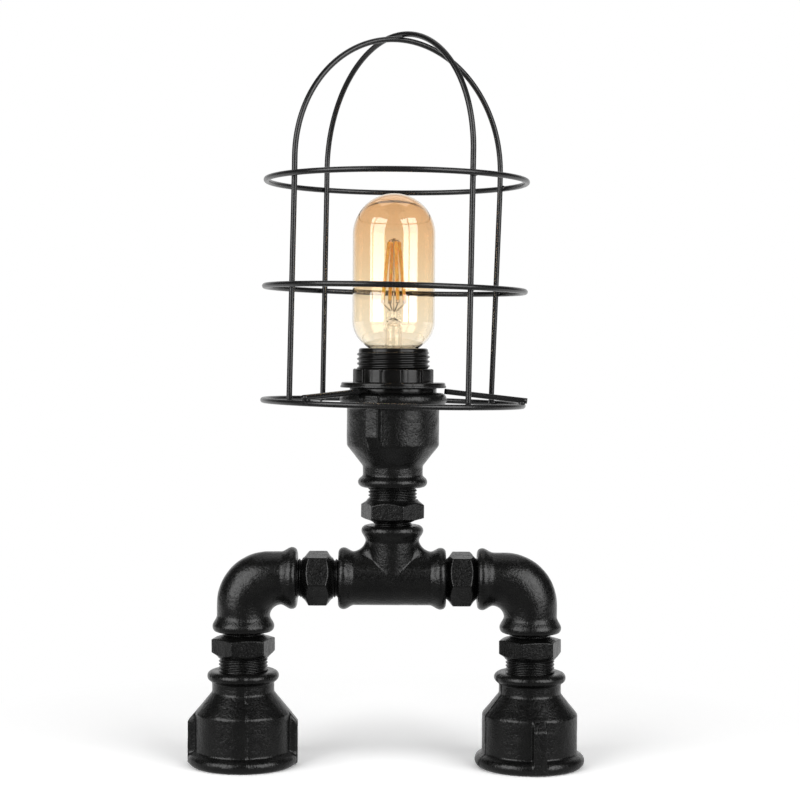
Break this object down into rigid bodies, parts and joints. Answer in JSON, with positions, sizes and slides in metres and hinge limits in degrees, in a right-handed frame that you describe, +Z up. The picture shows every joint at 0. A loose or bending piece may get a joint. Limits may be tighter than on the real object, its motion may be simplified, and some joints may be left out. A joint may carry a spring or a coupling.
{
  "type": "industrial pipe table lamp",
  "caption": "Table lamp of black pipe fittings on two reducer feet, with an E27 holder, a welded wire cage and a long tubular filament bulb.",
  "frame": {"origin": "on the table, midway between the feet", "axes": "+Z up, +X to the right seen from the front, +Y to the back, where the cable entry is"},
  "size_m": [0.2148, 0.143, 0.3955],
  "materials": {
    "black_iron": "satin black paint over a cast skin",
    "black_wire": "satin black paint",
    "black_plastic": "semi-gloss black phenolic",
    "white_insulator": "matt off-white",
    "brass": "plain",
    "cap_brass": "nickel-brass, plain",
    "steel": "zinc plated",
    "amber_glass": "amber tinted, clear",
    "cap_glass": "black glass",
    "solder": "solder",
    "clear_glass": "clear",
    "filament": "amber phosphor coat",
    "lead_wire": "plain",
    "brown_pvc": "PVC",
    "blue_pvc": "PVC",
    "green_pvc": "PVC",
    "black_rubber": "matt"
  },
  "bodies": {
    "stand": {"foot_left": "black_iron", "foot_right": "black_iron", "foot_nipple_left": "black_iron", "foot_nipple_right": "black_iron", "elbow_left": "black_iron", "elbow_right": "black_iron", "arm_nipple_left": "black_iron", "arm_nipple_right": "black_iron", "tee": "black_iron", "neck_nipple": "black_iron", "head_socket": "black_iron", "cage_hub": "black_wire", "cage_ring_bottom": "black_wire", "cage_ring_middle": "black_wire", "cage_ring_top": "black_wire", "cage_arch_lower": "black_wire", "cage_arch_upper": "black_wire", "lampholder_skirt": "black_plastic", "lampholder_base": "black_plastic", "insulator_core": "white_insulator", "screw_shell": "brass", "centre_contact": "brass", "terminals": "brass", "earth_post": "brass", "support_tube": "steel", "support_plate": "steel", "tube_nuts": "steel", "live_core": "brown_pvc", "neutral_core": "blue_pvc", "earth_core": "green_pvc", "terminal_block": "white_insulator", "block_screws": "steel", "cable_grommet": "black_rubber"},
    "shade_ring": {"shade_ring": "black_plastic"},
    "bulb_seat": {"cap_contact": "solder"},
    "bulb": {"bulb_glass": "amber_glass", "bulb_cap": "cap_brass", "cap_insulator": "cap_glass", "bulb_stem": "clear_glass", "bulb_filaments": "filament", "bulb_lead_wires": "lead_wire"}
  },
  "joints": [
    {"name": "shade_ring_turn", "type": "hinge", "parent": "stand", "child": "shade_ring", "pos_m": [0.0027, 0, 0.2046], "axis": [0, 0, 1], "range_deg": [0, 720]},
    {"name": "bulb_lift", "type": "slide", "parent": "stand", "child": "bulb_seat", "axis": [0, 0, 1], "range_m": [0, 0.01088]},
    {"name": "bulb_turn", "type": "hinge", "parent": "bulb_seat", "child": "bulb", "pos_m": [0.0027, 0, 0.1992], "axis": [0, 0, 1], "range_deg": [0, 1080]}
  ],
  "couplings": [
    {"joint": "bulb_turn", "follows": "bulb_lift", "rad_per_m": 1730.9}
  ]
}
